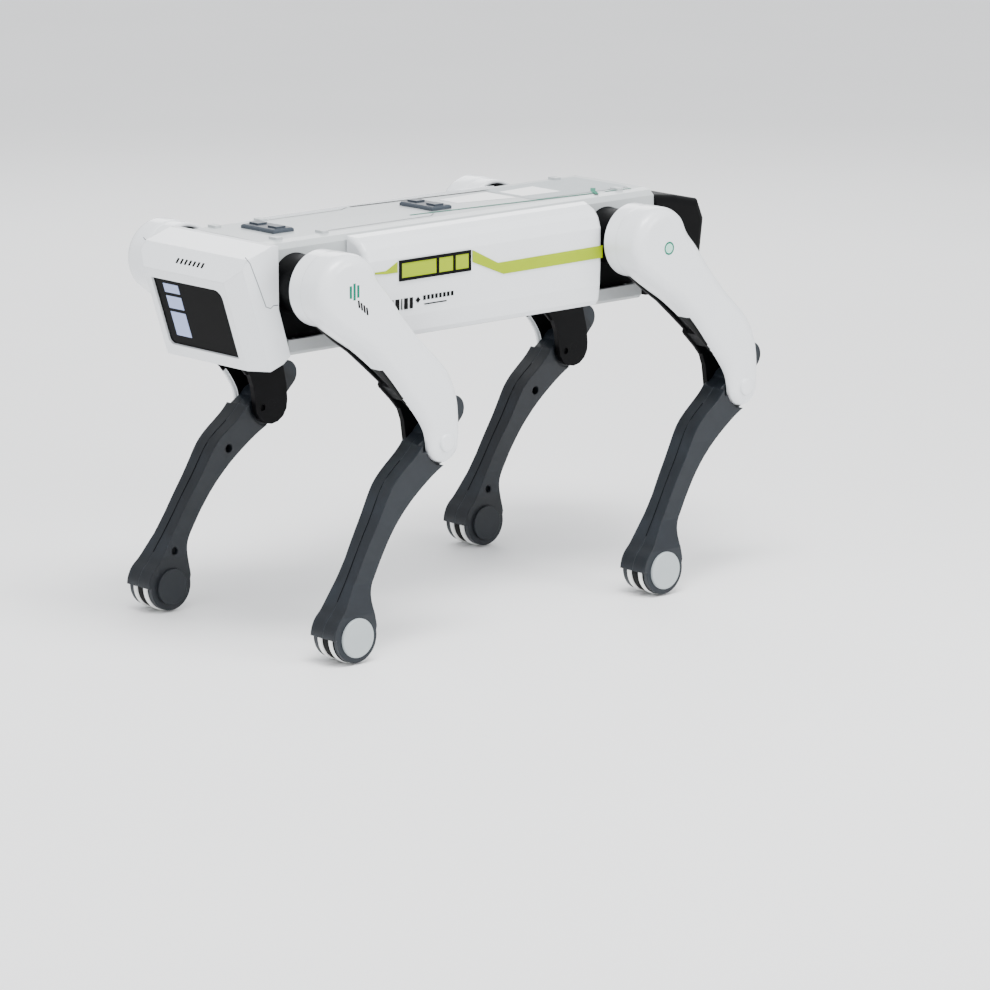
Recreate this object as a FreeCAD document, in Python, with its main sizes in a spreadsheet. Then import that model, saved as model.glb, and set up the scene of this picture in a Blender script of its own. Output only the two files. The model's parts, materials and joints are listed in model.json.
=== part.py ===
import FreeCAD, Part
import Sketcher
import math, os
from FreeCAD import Vector as V, Placement, Rotation

# Quadruped robot dog: +X forward, +Y to its left, +Z up, feet on Z = 0, millimetres.
doc = FreeCAD.newDocument("robot_dog")
sheet = doc.addObject("Spreadsheet::Sheet", "P")
CELLS = [
    # frame of the model
    ("origin_shift", 8.5), ("hip_x", 129.5), ("hip_z", 202.5), ("hip_spacing", 231.4),
    ("lean_lf", 0.0), ("lean_lr", 0.0), ("lean_rf", -0.7), ("lean_rr", 1.6),
    # leg, positions from the hip axis
    ("knee_dx", -66.0), ("knee_dz", -90.2), ("foot_dx", 1.7), ("foot_dz", -187.9),
    ("barrel_rad", 21.3), ("barrel_in", 57.3), ("cover_out", 86.3), ("cover_in", 67.5),
    ("cover_wall", 2.0), ("cover_round", 7.0), ("tab_in", 81.0), ("tab_rad", 11.6),
    ("boss_rad", 5.0), ("boss_out", 88.0),
    ("frame_in", 62.5), ("frame_out", 66.0), ("frame_knee_rad", 11.7), ("frame_hub_rad", 18.4),
    ("shank_lo", 66.3), ("shank_hi", 89.5), ("knee_relief", 12.9), ("knee_lo", 67.4), ("knee_hi", 80.6),
    ("knee_head_rad", 9.4), ("ear_in", 68.5), ("ear_out", 74.4), ("ear_rad", 8.0),
    ("lever_dx", -15.5), ("lever_dz", 14.6), ("link_arm", 13.5),
    ("pin_rad", 2.5), ("pin_clear", 0.15),
    ("foot_in", 69.5), ("foot_out", 89.5), ("cheek_rad", 13.9), ("roller_rad", 14.6), ("hub_rad", 13.3),
    ("slot_rad", 15.05), ("slot_in", 72.8), ("slot_out", 86.4), ("axle_rad", 2.0), ("cap_rad", 10.9), ("cap_out", 91.2),
    ("rod_in", 74.8), ("rod_thick", 2.8), ("crank_in", 77.9), ("crank_thick", 3.0),
    # body
    ("deck_top", 225.5), ("deck_half", 37.0), ("deck_wall", 2.0), ("deck_rear", -140.0), ("deck_front", 145.9),
    ("deck_skirt", 213.0), ("chassis_front", 150.5), ("chassis_rear", -132.0), ("chassis_low", 172.5),
    ("panel_rear", -84.0), ("panel_front", 93.0), ("panel_out", 54.0), ("panel_wall", 2.0),
    ("belly_low", 163.6), ("belly_half", 42.0), ("belly_front", 138.0), ("belly_rear", -126.0), ("belly_wall", 2.0),
    ("head_half", 44.0), ("head_wall", 2.2), ("head_rear", 146.0),
    ("cap_rear", -181.0), ("cap_half", 39.0), ("cap_low", 164.0), ("cap_wall", 2.0),
    ("gearbox_rad", 16.0), ("gearbox_out", 56.8), ("shaft_rad", 4.0),
    ("clip_long", 28.0), ("clip_wide", 14.6), ("clip_thick", 2.2),
    ("battery_long", 92.0), ("battery_wide", 44.0), ("battery_tall", 22.0),
    ("board_long", 96.0), ("board_wide", 58.0), ("board_thick", 1.6),
    ("speaker_rad", 16.0), ("speaker_tall", 12.0),
    ("door_long", 100.0), ("door_wide", 52.0), ("switch_travel", 4.0),
]
for i, (alias, value) in enumerate(CELLS, start=1):
    sheet.set("A%d" % i, alias)
    sheet.set("B%d" % i, str(value))
    sheet.setAlias("B%d" % i, alias)
doc.recompute()
VAL = dict(CELLS)


def g(name):
    return float(sheet.get(name))


def plane(body, role):
    return [f for f in body.Origin.OriginFeatures if f.Role == role][0]


def place(obj, base, angle=0.0):
    obj.Placement = Placement(base, Rotation(V(0, 1, 0), angle))


def new_body(label, base=None, angle=0.0):
    b = doc.addObject("PartDesign::Body", label)
    b.Label = label
    b.Placement = Placement(base or V(g("origin_shift"), 0, 0), Rotation(V(0, 1, 0), angle))
    return b


# ---- sketch geometry ----
def poly(pts):
    n = len(pts)
    return [Part.LineSegment(V(pts[i][0], pts[i][1], 0), V(pts[(i + 1) % n][0], pts[(i + 1) % n][1], 0)) for i in range(n)]


def circ(c, r):
    return [Part.Circle(V(c[0], c[1], 0), V(0, 0, 1), r)]


def closed_spline(pts):
    b = Part.BSplineCurve()
    b.interpolate([V(p[0], p[1], 0) for p in pts], PeriodicFlag=True)
    return [b]


def open_spline(pts):
    b = Part.BSplineCurve()
    b.interpolate([V(p[0], p[1], 0) for p in pts])
    return [b]


def rrect(x0, y0, x1, y1, r):
    """Rounded rectangle: four lines and four tangent arcs."""
    out = []
    cs = [((x1 - r, y0 + r), -90), ((x1 - r, y1 - r), 0), ((x0 + r, y1 - r), 90), ((x0 + r, y0 + r), 180)]
    ends = []
    for (c, a0) in cs:
        a = [math.radians(a0 + k) for k in (0, 45, 90)]
        p = [V(c[0] + r * math.cos(t), c[1] + r * math.sin(t), 0) for t in a]
        out.append(Part.Arc(p[0], p[1], p[2]))
        ends.append((p[0], p[2]))
    for i in range(4):
        out.append(Part.LineSegment(ends[i][1], ends[(i + 1) % 4][0]))
    return out


def inset(pts, d):
    """Closed outline moved inwards by d along its normals."""
    n = len(pts)
    area = sum(pts[i][0] * pts[(i + 1) % n][1] - pts[(i + 1) % n][0] * pts[i][1] for i in range(n))
    s = 1 if area > 0 else -1
    out = []
    for i in range(n):
        ax, ay = pts[i - 1]
        bx, by = pts[(i + 1) % n]
        L = math.hypot(bx - ax, by - ay)
        out.append((pts[i][0] - s * d * (by - ay) / L, pts[i][1] + s * d * (bx - ax) / L))
    return out


def sketch(body, name, role, off, geo, expr=None):
    s = body.newObject("Sketcher::SketchObject", name)
    s.AttachmentSupport = [(plane(body, role), "")]
    s.MapMode = "FlatFace"
    s.AttachmentOffset = Placement(V(0, 0, off), Rotation())
    if expr:
        s.setExpression("AttachmentOffset.Base.z", expr)
    for e in geo:
        s.addGeometry(e, False)
        if isinstance(e, Part.Circle):
            s.addConstraint([Sketcher.Constraint("Radius", s.GeometryCount - 1, e.Radius)])
    return s


def add(body, name, role, off, length, geo, oexpr=None, lexpr=None):
    s = sketch(body, name + "_sk", role, off, geo, oexpr)
    p = body.newObject("PartDesign::Pad", name)
    p.Profile = s
    p.Length = length
    if lexpr:
        p.setExpression("Length", lexpr)
    return p


def cut(body, name, role, off, length, geo, oexpr=None, lexpr=None):
    """Pocket that runs the same way as a pad from the same sketch plane."""
    s = sketch(body, name + "_sk", role, off, geo, oexpr)
    p = body.newObject("PartDesign::Pocket", name)
    p.Profile = s
    p.Length = length
    p.Reversed = True
    if lexpr:
        p.setExpression("Length", lexpr)
    return p


def across(side, lo, hi):
    """Offset and length, with their expressions, of a slab between |y| = lo and |y| = hi on one side."""
    le = hi_e = None
    L = lo if isinstance(lo, str) else repr(lo)
    H = hi if isinstance(hi, str) else repr(hi)
    Le = "P." + L if isinstance(lo, str) else L
    He = "P." + H if isinstance(hi, str) else H
    l = g(lo) if isinstance(lo, str) else lo
    h = g(hi) if isinstance(hi, str) else hi
    if side > 0:
        return -h, h - l, "-1 * " + He, Le and (He + " - " + Le)
    return l, h - l, Le, He + " - " + Le


def slab(body, name, side, lo, hi, geo, mode=add):
    off, length, oe, le = across(side, lo, hi)
    return mode(body, name, "XZ_Plane", off, length, geo, oe, le)


def round_edges(body, name, feat, test, radius, expr=None, kind="Fillet"):
    doc.recompute()
    names = []
    for i, e in enumerate(feat.Shape.Edges):
        if test(e):
            names.append("Edge%d" % (i + 1))
    if not names:
        raise RuntimeError("no edges for " + name)
    f = body.newObject("PartDesign::" + kind, name)
    f.Base = (feat, names)
    if kind == "Fillet":
        f.Radius = radius
        if expr:
            f.setExpression("Radius", expr)
    else:
        f.Size = radius
        if expr:
            f.setExpression("Size", expr)
    doc.recompute()
    return f


def on_y(e, y, tol=1e-4):
    b = e.BoundBox
    return abs(b.YMin - y) < tol and abs(b.YMax - y) < tol


# ---- leg outlines, hip axis at (0, 0) ----
K = (g("knee_dx"), g("knee_dz"))
F = (g("foot_dx"), g("foot_dz"))
HX, HZ = g("hip_x"), g("hip_z")


def rel(pts):
    return [(x - HX, z - HZ) for x, z in pts]


def arc_pts(c, r, a0, a1, n):
    return [(c[0] + r * math.cos(math.radians(a0 + (a1 - a0) * i / (n - 1.0))),
             c[1] + r * math.sin(math.radians(a0 + (a1 - a0) * i / (n - 1.0)))) for i in range(n)]


# thigh cover: round hip, back swept behind the hip-knee line, rounded knee tab
cover_front = rel([(127.0, 174.8), (115.7, 167.0), (102.3, 153.3), (90.0, 138.2), (81.5, 128.0), (76.4, 119.5)])
cover_back = rel([(52.0, 121.5), (53.4, 136.0), (58.0, 148.2), (66.0, 159.0), (77.0, 169.6), (90.2, 184.6), (101.5, 199.5)])
COVER = (arc_pts((0, 0), g("barrel_rad"), 165, -62, 9) + cover_front
         + arc_pts(K, g("tab_rad"), 8, -188, 7) + cover_back)
# the cover reaches full outline on the hip circle, so the first point is kept clear of the back sweep
COVER_IN = inset(COVER, g("cover_wall"))

# black inner frame of the thigh, ledge at its front above the knee
frame_front = rel([(122.0, 176.0), (112.0, 167.0), (103.1, 159.0), (91.9, 147.4), (92.6, 144.8), (83.9, 136.3), (79.0, 130.0), (76.6, 123.5)])
frame_back = rel([(52.4, 122.0), (55.5, 136.0), (60.5, 147.0), (68.5, 157.5), (80.0, 168.5), (94.5, 184.5), (109.0, 199.5)])
FRAME = (arc_pts((0, 0), g("frame_hub_rad") - 0.4, 148, -58, 8) + frame_front
         + arc_pts(K, g("frame_knee_rad"), 5, -185, 9) + frame_back)

# shank blade, front edge down to the hood over the foot roller, then the back edge up
shank_front = rel([(78.6, 112.4), (87.2, 104.0), (95.8, 97.2), (101.3, 91.3), (105.2, 85.0), (110.3, 75.8), (116.8, 65.4),
                   (123.2, 54.6), (129.6, 44.0), (136.4, 33.6)])
hood = arc_pts(F, 16.1, 52, 2, 5)
shank_back = rel([(117.0, 19.3), (118.6, 27.3), (119.4, 33.0), (118.9, 38.2), (115.6, 45.0), (110.0, 54.2), (103.9, 64.0),
                  (96.6, 73.5), (88.6, 81.6), (78.4, 89.9), (69.6, 96.0), (61.4, 100.4)])
LEV = (K[0] + g("lever_dx"), K[1] + g("lever_dz"))
lev_r = math.hypot(g("lever_dx"), g("lever_dz"))
LINK = (g("lever_dx") / lev_r * g("link_arm"), g("lever_dz") / lev_r * g("link_arm"))
KP = (K[0] + LINK[0], K[1] + LINK[1])


def shank_outline():
    top = (K[0], K[1] + g("knee_head_rad"))
    geo = []
    geo += open_spline(shank_front + hood)
    geo.append(Part.LineSegment(V(hood[-1][0], hood[-1][1], 0), V(F[0], F[1], 0)))
    geo.append(Part.LineSegment(V(F[0], F[1], 0), V(F[0] - 13.0, F[1] - 1.0, 0)))
    geo.append(Part.LineSegment(V(F[0] - 13.0, F[1] - 1.0, 0), V(shank_back[0][0], shank_back[0][1], 0)))
    geo += open_spline(shank_back)
    # knee head, from the back edge round behind and over the knee to the front edge
    a = shank_back[-1]
    b = shank_front[0]
    p = arc_pts(K, g("knee_head_rad"), 215, 28, 7)
    geo.append(Part.LineSegment(V(a[0], a[1], 0), V(p[0][0], p[0][1], 0)))
    geo.append(Part.Arc(V(p[0][0], p[0][1], 0), V(p[3][0], p[3][1], 0), V(p[6][0], p[6][1], 0)))
    geo.append(Part.LineSegment(V(p[6][0], p[6][1], 0), V(b[0], b[1], 0)))
    return geo


def shank_cavity():
    f = rel([(88.5, 99.6), (96.5, 92.2), (101.5, 84.6), (107.2, 74.2), (113.8, 63.6), (120.4, 52.8), (125.4, 44.6), (127.4, 39.2)])
    b = rel([(122.4, 38.8), (119.0, 45.8), (113.4, 54.8), (107.0, 65.2), (99.6, 75.2), (91.4, 83.6), (81.4, 92.0)])
    n = f + b
    return poly(n)


# limits of the shank across its width, by height: the leg spreads out a little towards the foot
Z0 = -300.0
lo_line = [(66.3, 40.0), (66.3, -98.0), (68.2, -127.0), (70.4, -148.0), (70.4, -158.0), (69.5, -172.0), (69.5, Z0)]
hi_line = [(84.0, 40.0), (84.0, -118.0), (84.6, -138.0), (85.0, -149.0), (86.0, -160.0), (89.5, -176.0), (89.5, Z0)]
mid_line = [(74.6, 40.0), (74.6, -98.0), (76.4, -127.0), (77.8, -150.0), (79.5, -172.0), (79.5, Z0)]


def zone(side, line, outer):
    """Closed region in (y, z) beyond a line, towards the outside or the inside of the leg."""
    far = 130.0 if outer else 30.0
    pts = list(line) + [(far, line[-1][1]), (far, line[0][1])]
    return poly([(side * y, z) for y, z in pts])


def trim(body, name, side, line, outer):
    return cut(body, name, "YZ_Plane", -260.0, 520.0, zone(side, line, outer))


LEGS = [("lf", 1, HX, "lean_lf"), ("rf", -1, HX, "lean_rf"),
        ("lr", 1, HX - g("hip_spacing"), "lean_lr"), ("rr", -1, HX - g("hip_spacing"), "lean_rr")]
SUB = []      # every sub-part, in order


def sampled(pts, n):
    """n evenly spaced corners on the smooth closed curve through pts."""
    c = Part.BSplineCurve()
    c.interpolate(Points=[V(x, y, 0) for x, y in pts], PeriodicFlag=True)
    return [(p.x, p.y) for p in c.discretize(Number=n + 1)[:-1]]


def mitred(pts, d):
    """Closed outline moved inwards by d, every edge staying parallel to itself."""
    n = len(pts)
    area = sum(pts[i][0] * pts[(i + 1) % n][1] - pts[(i + 1) % n][0] * pts[i][1] for i in range(n))
    sg = 1 if area > 0 else -1
    out = []
    for i in range(n):
        (ax, ay), (px, py), (bx, by) = pts[i - 1], pts[i], pts[(i + 1) % n]
        l1, l2 = math.hypot(px - ax, py - ay), math.hypot(bx - px, by - py)
        n1 = (-sg * (py - ay) / l1, sg * (px - ax) / l1)
        n2 = (-sg * (by - py) / l2, sg * (bx - px) / l2)
        k = d / (1 + n1[0] * n2[0] + n1[1] * n2[1])
        out.append((px + k * (n1[0] + n2[0]), py + k * (n1[1] + n2[1])))
    return out


RIM = sampled(COVER, 90)


def thigh_cover(tag, s, base, ang):
    b = new_body("thigh_cover_" + tag, base, ang)
    R = g("cover_round")
    flat = g("cover_out") - R
    arm = slab(b, "arm", s, "cover_in", flat, poly(RIM))
    barrel = slab(b, "barrel", s, "barrel_in", g("cover_in") + 2.5, circ((0, 0), g("barrel_rad") - 0.3))
    # crowned outer face, rounded over its whole edge
    secs = []
    for i in range(5):
        t = math.radians(22.5 * i)
        secs.append(sketch(b, "crown_sk%d" % i, "XZ_Plane", -s * (flat + R * math.sin(t)), poly(mitred(RIM, R * (1 - math.cos(t))))))
    loft = b.newObject("PartDesign::AdditiveLoft", "crown")
    loft.Profile = secs[0]
    loft.Sections = secs[1:]
    loft.Ruled = True
    # rim of the arm: runs outwards towards the knee, so the shank and its lever move freely
    u = Vn(K)
    rim = [(50.0, 30.0), (67.0, 30.0), (81.0, 82.0), (81.0, 140.0), (50.0, 140.0)]
    cutter = b.newObject("Sketcher::SketchObject", "rim_sk")
    cutter.AttachmentSupport = [(plane(b, "YZ_Plane"), "")]
    cutter.MapMode = "FlatFace"
    a = math.degrees(math.atan2(-K[0], -K[1]))
    # sketch plane turned so that its vertical runs along the hip-knee line
    cutter.AttachmentOffset = Placement(V(0, 0, 0), Rotation(V(1, 0, 0), 0)) * Placement(V(0, 0, 0), Rotation(V(1, 0, 0), a))
    for e in poly([(s * y, -d) for y, d in rim]):
        cutter.addGeometry(e, False)
    p = b.newObject("PartDesign::Pocket", "rim")
    p.Profile = cutter
    p.Midplane = True
    p.Length = 160.0
    # cavity behind the outer skin, stepped in where the edge is rounded
    slab(b, "arm_cavity", s, 60.0, g("cover_out") - 5.2, poly(mitred(RIM, g("cover_wall"))), cut)
    slab(b, "arm_cavity_top", s, 60.0, g("cover_out") - g("cover_wall"), poly(mitred(RIM, 5.4)), cut)
    slab(b, "barrel_cavity", s, 50.0, g("cover_in") + 4.0, circ((0, 0), g("barrel_rad") - g("cover_wall") - 0.8), cut)
    # knee tab left solid, with the round boss of the knee pin
    slab(b, "tab", s, "tab_in", g("cover_out") - 1.0, circ(K, g("tab_rad") - 2.6))
    slab(b, "boss", s, g("cover_out") - 1.5, "boss_out", circ(K, g("boss_rad")))
    # screw boss for the knee pin
    slab(b, "pin_seat", s, g("tab_in") - 0.5, 84.0, circ(K, g("pin_rad")), cut)
    return b


def Vn(k):
    n = math.hypot(*k)
    return (k[0] / n, k[1] / n)


def thigh_inner(tag, s, base, ang):
    b = new_body("thigh_inner_" + tag, base, ang)
    slab(b, "plate", s, "frame_in", "frame_out", poly(FRAME))
    slab(b, "hub", s, "barrel_in", "frame_out", circ((0, 0), g("frame_hub_rad")))
    # front flange that closes the arm above the knee
    web = rel([(103.1, 158.6), (92.3, 147.2), (92.9, 144.9), (84.4, 136.6), (82.6, 138.2), (90.2, 145.6), (89.6, 148.2), (101.4, 160.0)])
    slab(b, "web", s, g("frame_out") - 0.5, 80.0, poly(web))
    slab(b, "shaft_bore", s, 50.0, 70.0, circ((0, 0), g("shaft_rad") + 0.1), cut)
    slab(b, "pin_bore", s, 50.0, 70.0, circ(K, g("pin_rad")), cut)
    # recess for the frame screw on the inner face
    slab(b, "screw_seat", s, 60.0, 64.0, circ((K[0] + 6.5, K[1] - 1.5), 1.9), cut)
    return b


def knee_servo(tag, s, base, ang):
    b = new_body("knee_servo_" + tag, base, ang)
    slab(b, "case", s, 66.2, 74.5, rrect(-12.0, -15.5, 12.0, 9.0, 1.5))
    slab(b, "spline", s, 74.3, 81.4, circ((0, 0), 2.4))
    return b


def knee_pin(tag, s, base, ang):
    b = new_body("knee_pin_" + tag, base, ang)
    slab(b, "shank", s, "frame_in", 84.0, circ(K, g("pin_rad")))
    return b


def knee_crank(tag, s, base, ang):
    b = new_body("knee_crank_" + tag, base, ang)
    hi = g("crank_in") + g("crank_thick")
    slab(b, "arm", s, "crank_in", hi, hull2((0, 0), 5.0, LINK, 3.6))
    slab(b, "pin", s, g("rod_in") + 0.2, g("crank_in") + 0.5, circ(LINK, 1.2))
    slab(b, "bore", s, 70.0, 90.0, circ((0, 0), 2.55), cut)
    return b


def hull2(c0, r0, c1, r1):
    """Outline round two circles joined by their outer tangents."""
    dx, dz = c1[0] - c0[0], c1[1] - c0[1]
    d = math.hypot(dx, dz)
    base = math.atan2(dz, dx)
    t = math.acos((r0 - r1) / d)
    def at(c, r, a):
        return V(c[0] + r * math.cos(a), c[1] + r * math.sin(a), 0)
    a, b_ = base + t, base - t
    return [Part.LineSegment(at(c0, r0, a), at(c1, r1, a)),
            Part.Arc(at(c1, r1, a), at(c1, r1, base), at(c1, r1, b_)),
            Part.LineSegment(at(c1, r1, b_), at(c0, r0, b_)),
            Part.Arc(at(c0, r0, b_), at(c0, r0, base + math.pi), at(c0, r0, a))]


def push_rod(tag, s, base, ang):
    b = new_body("push_rod_" + tag, base, ang)
    hi = g("rod_in") + g("rod_thick")
    slab(b, "bar", s, "rod_in", hi, hull2(LINK, 2.65, KP, 2.6))
    slab(b, "bore_top", s, 70.0, 90.0, circ(LINK, 1.35), cut)
    slab(b, "bore_low", s, 70.0, 90.0, circ(KP, 1.45), cut)
    return b


def shank_common(b, s):
    slab(b, "blade", s, "shank_lo", "shank_hi", shank_outline())
    slab(b, "foot", s, "foot_in", "foot_out", circ(F, g("cheek_rad")))


def shank_reliefs(b, s):
    slab(b, "relief_out", s, "knee_hi", 95.0, circ(K, g("knee_relief")), cut)
    slab(b, "relief_in", s, 55.0, "knee_lo", circ(K, g("knee_relief")), cut)
    slab(b, "roller_slot", s, "slot_in", "slot_out", circ(F, g("slot_rad")), cut)
    slab(b, "pin_bore", s, 55.0, 95.0, circ(K, g("pin_rad") + g("pin_clear")), cut)
    slab(b, "axle_bore", s, 71.0, 95.0, circ(F, g("axle_rad")), cut)
    slab(b, "cavity", s, 72.6, 82.0, shank_cavity(), cut)


def shank_outer(tag, s, base, ang):
    b = new_body("shank_outer_" + tag, base, ang)
    shank_common(b, s)
    trim(b, "out_limit", s, hi_line, True)
    trim(b, "split", s, mid_line, False)
    shank_reliefs(b, s)
    # front shoulder, cleared for the rim of the thigh cover when the knee folds
    slab(b, "shoulder_relief", s, "knee_hi", 95.0, poly(arc_pts(K, 15.4, -16, 50, 8) + arc_pts(K, 12.4, 50, -16, 6)), cut)
    return b


def shank_inner(tag, s, base, ang):
    b = new_body("shank_inner_" + tag, base, ang)
    shank_common(b, s)
    trim(b, "in_limit", s, lo_line, False)
    trim(b, "split", s, mid_line, True)
    # dome on the inner cheek
    slab(b, "dome", s, 67.9, g("foot_in") + 0.5, circ(F, 10.4))
    doc.recompute()
    shank_reliefs(b, s)
    # lever ear behind the knee, worked by the push rod
    slab(b, "ear", s, "ear_in", "ear_out", hull2(K, g("knee_head_rad") - 0.6, LEV, g("ear_rad")))
    slab(b, "ear_pin", s, g("ear_out") - 0.5, g("rod_in") + g("rod_thick") - 0.2, circ(KP, 1.1))
    slab(b, "ear_bore", s, 55.0, 95.0, circ(K, g("pin_rad") + g("pin_clear")), cut)
    # counterbored screw holes
    for i, c in enumerate(rel([(128.4, 34.6), (91.0, 89.2)])):
        slab(b, "screw_hole_%d" % i, s, 55.0, 72.5, circ(c, 2.5 if i else 2.2), cut)
    return b


def foot_cap(tag, s, base, ang):
    b = new_body("foot_cap_" + tag, base, ang)
    disc = slab(b, "disc", s, "foot_out", "cap_out", circ(F, g("cap_rad")))
    f = round_edges(b, "disc_round", disc, lambda e: on_y(e, s * g("cap_out")), 0.9)
    slab(b, "axle", s, 71.2, g("foot_out") + 0.2, circ(F, g("axle_rad")))
    return b


def foot_roller(tag, s, base, ang):
    b = new_body("foot_roller_" + tag, base, ang)
    slab(b, "hub", s, g("slot_in") + 0.35, g("slot_out") - 0.35, circ(F, g("hub_rad")))
    slab(b, "ring_in", s, 74.0, 78.0, circ(F, g("roller_rad")))
    slab(b, "ring_out", s, 81.6, 85.4, circ(F, g("roller_rad")))
    slab(b, "bore", s, 70.0, 90.0, circ(F, g("axle_rad") + 0.1), cut)
    return b


for tag, s, hx, lean in LEGS:
    base = V(hx + g("origin_shift"), 0, HZ)
    ang = g(lean)
    for fn in (thigh_cover, thigh_inner, knee_servo, knee_pin, knee_crank, push_rod,
               shank_outer, shank_inner, foot_cap, foot_roller):
        SUB.append(fn(tag, s, base, ang))


# ---- body ----
def yz(body, name, x0, x1, geo, mode=add, oe=None, le=None):
    return mode(body, name, "YZ_Plane", x0, x1 - x0, geo, oe, le)


def sym(pts):
    """Outline symmetric about y = 0 from its +Y half, listed top to bottom."""
    return pts + [(-y, z) for y, z in reversed(pts)]


# top deck: wide channel, gently crowned
b = new_body("top_deck")
T = g("deck_top")
W = g("deck_half")
S = g("deck_skirt")
yz(b, "shell", g("deck_rear"), g("deck_front"),
   poly(sym([(0.01, T), (29.0, T - 0.2), (34.0, T - 1.2), (W, T - 4.0), (W + 0.5, S)])), add, "P.deck_rear", "P.deck_front - P.deck_rear")
yz(b, "hollow", g("deck_rear") - 5, g("deck_front") + 5,
   poly(sym([(0.01, T - 2.0), (28.0, T - 2.2), (33.0, T - 3.2), (W - 2.2, T - 5.4), (W - 1.6, S - 5)])), cut)
for i, hx in enumerate((HX, HX - g("hip_spacing"))):
    cut(b, "hip_arch_%d" % i, "XZ_Plane", -60.0, 120.0, circ((hx, HZ), g("gearbox_rad") + 0.3))
# raised posts along both edges of the deck
for i, x in enumerate((133.3, 100.8, -120.7)):
    for sg in (1, -1):
        add(b, "post_%d_%s" % (i, "l" if sg > 0 else "r"), "XY_Plane", T - 1.5, 2.6,
            rrect(x - 2.4, sg * 26.3 - 3.6, x + 2.4, sg * 26.3 + 3.6, 1.0))
SUB.append(b)

# chassis: black open frame that the shells close
b = new_body("chassis")
yz(b, "walls", g("chassis_rear"), g("chassis_front"), poly([(-36.6, g("chassis_low")), (36.6, g("chassis_low")), (36.6, 215.5), (-36.6, 215.5)]),
   add, "P.chassis_rear", "P.chassis_front - P.chassis_rear")
cut(b, "well", "XY_Plane", 160.0, 70.0, rrect(g("chassis_rear") + 2.5, -34.2, g("chassis_front") - 2.5, 34.2, 3.0))
for i, hx in enumerate((HX, HX - g("hip_spacing"))):
    cut(b, "hip_bore_l%d" % i, "XZ_Plane", -40.0, 6.0, circ((hx, HZ), g("gearbox_rad") + 0.05))
    cut(b, "hip_bore_r%d" % i, "XZ_Plane", 34.0, 6.0, circ((hx, HZ), g("gearbox_rad") + 0.05))
# the deck's skirt covers the top of the walls
for sg in (1, -1):
    y0, y1 = sorted((sg * 34.9, sg * 37.0))
    yz(b, "skirt_rebate_%s" % ("l" if sg > 0 else "r"), g("chassis_rear") - 1, g("chassis_front") + 1,
       poly([(y0, S - 0.3), (y1, S - 0.3), (y1, 217.0), (y0, 217.0)]), cut)
SUB.append(b)

# side panels
panel_sec = [(37.9, 224.0), (44.0, 223.2), (48.6, 221.0), (51.8, 217.0), (54.0, 210.8), (54.0, 192.0), (53.5, 178.0), (52.3, 169.0), (50.6, 166.4), (43.0, 166.2)]
panel_in = [(36.0, 221.8), (43.4, 221.0), (47.2, 219.3), (49.8, 216.2), (52.0, 210.4), (52.0, 192.0), (51.5, 178.0), (50.4, 169.9), (49.6, 168.3), (42.0, 168.2)]
for lab, sg in (("side_panel_left", 1), ("side_panel_right", -1)):
    b = new_body(lab)
    pts = [(sg * y, z) for y, z in panel_sec] + [(sg * 43.0, 172.6), (sg * 37.9, 172.6)]
    p = yz(b, "shell", g("panel_rear"), g("panel_front"), poly(pts), add, "P.panel_rear", "P.panel_front - P.panel_rear")
    doc.recompute()

    def end_edge(e, sg=sg):
        bb = e.BoundBox
        at_end = abs(bb.XMin - g("panel_rear")) < 1e-4 and abs(bb.XMax - g("panel_rear")) < 1e-4 or \
            abs(bb.XMin - g("panel_front")) < 1e-4 and abs(bb.XMax - g("panel_front")) < 1e-4
        ym = max(abs(bb.YMin), abs(bb.YMax))
        yl = min(abs(bb.YMin), abs(bb.YMax))
        return at_end and ym > 44.5 and yl > 43.9 and bb.ZMax > 168.0 and bb.ZMax < 223.5
    f = round_edges(b, "end_round", p, end_edge, 3.5)
    pin = [(sg * y, z) for y, z in panel_in] + [(sg * 42.0, 180.0), (sg * 30.0, 180.0), (sg * 30.0, 221.8)]
    yz(b, "hollow", g("panel_rear") + 3.0, g("panel_front") - 3.0, poly(pin), cut)
    # shallow slots for the lime accent and the indicator frame
    SUB.append(b)

ACC = [(-83.2, 200.6), (-83.2, 193.6), (-7.4, 193.2), (15.6, 202.6), (15.6, 209.3), (-3.4, 199.9)]
FRM = (17.0, 198.0, 69.4, 209.6)
TIP = [(70.6, 203.2), (78.6, 203.2), (86.6, 203.9), (86.6, 205.0), (78.8, 204.9), (70.6, 209.0)]


def plate_on_panel(label, geos, y_in, y_out):
    """Thin pieces let into both side panels, as separate solids of one node."""
    shapes = []
    for sg in (1, -1):
        for outer, holes in geos:
            w = Part.makePolygon([V(x, 0, z) for x, z in outer] + [V(outer[0][0], 0, outer[0][1])])
            fc = Part.Face(w)
            sol = fc.extrude(V(0, y_out - y_in, 0))
            for h in holes:
                hw = Part.makePolygon([V(x, -5, z) for x, z in h] + [V(h[0][0], -5, h[0][1])])
                sol = sol.cut(Part.Face(hw).extrude(V(0, 20, 0)))
            sol.translate(V(0, y_in, 0))
            if sg < 0:
                sol = sol.mirror(V(0, 0, 0), V(0, 1, 0))
            shapes.append(sol)
    o = doc.addObject("Part::Feature", label)
    o.Label = label
    o.Shape = Part.makeCompound(shapes)
    o.Placement = Placement(V(g("origin_shift"), 0, 0), Rotation())
    return o


def rect(x0, z0, x1, z1):
    return [(x0, z0), (x1, z0), (x1, z1), (x0, z1)]


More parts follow.
